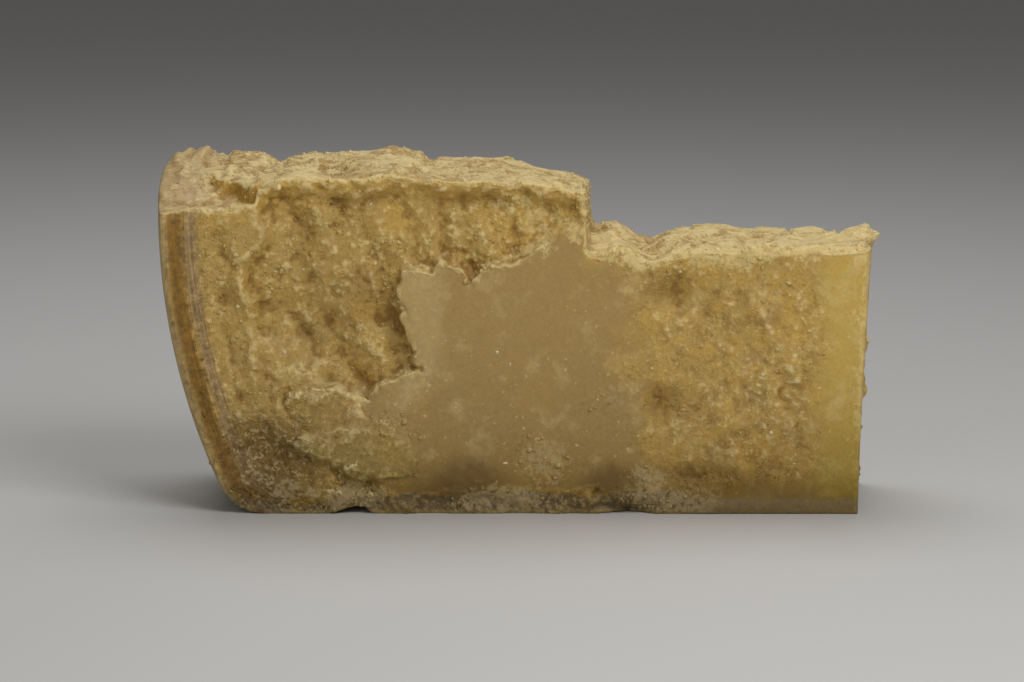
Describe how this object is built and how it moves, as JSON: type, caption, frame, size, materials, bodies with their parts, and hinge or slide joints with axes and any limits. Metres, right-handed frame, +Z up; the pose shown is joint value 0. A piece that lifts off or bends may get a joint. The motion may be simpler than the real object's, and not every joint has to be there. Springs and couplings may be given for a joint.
{
  "type": "parmesan chunk",
  "caption": "Broken chunk of hard aged cheese with rind on its side and base, a stepped top and rough granular faces, standing on its flat base.",
  "frame": {"origin": "middle of the bounding box at the base that the chunk stands on", "axes": "+X from the rind side to the cut end, +Y from the shown broken face to the hidden one, +Z up"},
  "size_m": [0.2182, 0.0768, 0.1044],
  "materials": {
    "cheese": "waxy, matt straw-coloured paste, granular where broken, darker and smoother at the rind"
  },
  "bodies": {
    "root": {"cheese_chunk": "cheese"}
  },
  "joints": []
}
